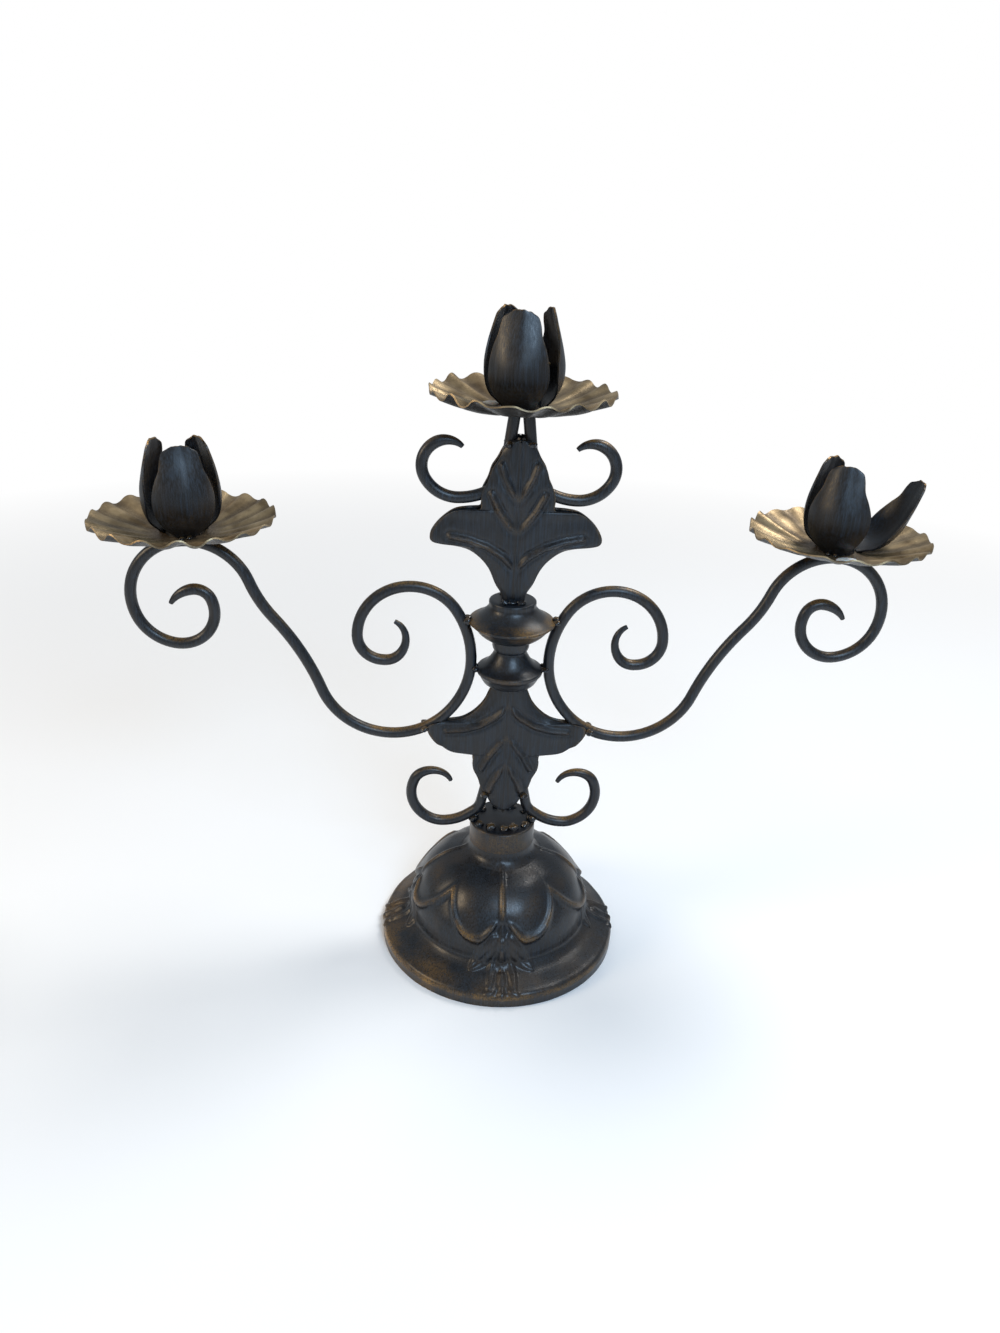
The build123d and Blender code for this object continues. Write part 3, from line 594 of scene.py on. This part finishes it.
# The bronze on the welds' upward faces is partly a painted highlight of the light from above
weld_enamel = black_enamel("glossy_black_enamel_on_weld", "top", shine=0.1, warm_sheen=0.3, bronze_most=0.35)
both = [(way, face) for way in (1, -1) for face in (1, -1)]
front_beads = ((-18, 3.4), (-9.5, 4.1), (1, 3.2), (8, 4.3), (17, 3.6))
collar_run = [(x, -16 + 0.02 * x * x, 106.0, big) for x, big in front_beads]
back_beads = ((-16, 3.8), (-4, 3.3), (7, 4.2), (17.5, 3.2))
collar_run += [(x, 15.5 - 0.02 * x * x, 106.0, big) for x, big in back_beads]
weld_beads(
    "collar_weld_run",
    "collar_welds",
    collar_run + [(w * 23, f * 4, 107.1, 3.2) for w, f in both] + [(21.5, 0, 107.1, 3.2), (-21.5, 0, 107.1, 3.2)],
)
weld_beads("upper_stem_weld_run", "upper_stem_welds", [(x, f * 9, 288.8, 3) for x in (-6, -1, 5) for f in (1, -1)])
weld_beads("lower_stem_weld_run", "lower_stem_welds", [(x, f * 12.2, 223.8, 3) for x in (-5, 0, 5) for f in (1, -1)])
weld_beads(
    "knop_arm_weld_run",
    "knop_arm_welds",
    [(w * 31.8, f * 3.3, 271.3, 3) for w, f in both]
    + [(w * 24.9, f * 3.2, 234.6, 2.8) for w, f in both]
    + [(w * 31.2, 0, 272.8, 3) for w in (1, -1)],
)
weld_beads("leaf_lobe_weld_run", "leaf_lobe_welds", [(w * 61, f * 5.2, 185.5, 3) for w, f in both])
weld_beads("upper_hook_weld_run", "upper_hook_welds", [(w * 7.6, f * 6.2, 397.3, 3) for w, f in both])
weld_beads("lower_hook_weld_run", "lower_hook_welds", [(w * 14.9, f * 6.3, 129.5, 3) for w, f in both])
weld_beads(
    "pan_weld_run",
    "pan_welds",
    [(0, f * 3.5, 416.8, 3.1) for f in (1, -1)] + [(w * 222.8, f * 3.6, 327.2, 3) for w, f in both],
)
for side_name, (x, y, z) in holder_spots.items():
    feet = [radians(angle) for petal_node, angle, lean in petal_places if petal_node.startswith(side_name)]
    weld_beads(
        side_name + "_petal_weld_run",
        side_name + "_petal_welds",
        [(x + 15.2 * cos(a + d), y + 15.2 * sin(a + d), z + 0.9, 1.9) for a in feet for d in (-0.2, 0.12)],
    )

# Candle wax: a few thin drips left on the pans and set there, off-white and a little clear at the edges.
# Each is a flattened drop on the sheet it fell on.
wax = bpy.data.materials.new("set_candle_wax")
wax.use_nodes = True
tree = wax.node_tree
shader = tree.nodes["Principled BSDF"]
shader.inputs["Roughness"].default_value = 0.35
shader.inputs["IOR"].default_value = 1.44
shader.inputs["Subsurface Weight"].default_value = 0.25
shader.inputs["Subsurface Scale"].default_value = 0.002
place = node(tree, "TexCoord", {}, {})
# Cloudy patches about 3 mm across where the wax set at different speeds
cloud = node(tree, "TexNoise", {}, {"Vector": place.outputs["Object"], "Scale": 330.0, "Detail": 3.0})
milky = node(tree, "Mix", {"data_type": "RGBA"}, {0: cloud.outputs["Fac"], 6: tone("#9a9894"), 7: tone("#e6e4e0")})
tree.links.new(milky.outputs[2], shader.inputs["Base Color"])
waves = node(tree, "Bump", {}, {"Strength": 0.2, "Distance": 0.0005, "Height": cloud.outputs["Fac"]})
tree.links.new(waves.outputs[0], shader.inputs["Normal"])
for name, x, y, z, wide, deep_in, thick in (
    ("wax_drip_top_left", -20.0, 13.0, 419.7, 6.0, 4.0, 1.7),
    ("wax_drip_top_front", 8.0, -17.5, 419.5, 4.2, 3.0, 1.3),
    ("wax_drip_right", 221.8, -23.0, 330.4, 7.0, 4.2, 1.7),
    ("wax_drip_left", -243.0, 29.5, 333.2, 4.4, 4.4, 2.3),
):
    bpy.ops.object.select_all(action="DESELECT")
    bpy.ops.mesh.primitive_uv_sphere_add(segments=40, ring_count=20, radius=1, location=(0, 0, 0))
    drip = bpy.context.object
    drip.name = name
    for vertex in drip.data.vertices:
        turn = atan2(vertex.co.y, vertex.co.x)
        spread = 1 + 0.3 * noise.noise(Vector((cos(turn), sin(turn), x)))
        vertex.co = Vector((
            x + vertex.co.x * wide * spread,
            y + vertex.co.y * deep_in * spread,
            z + vertex.co.z * thick,
        )) / 1000
    bpy.ops.object.shade_smooth()
    drip.data.materials.append(wax)
    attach(drip, "root")
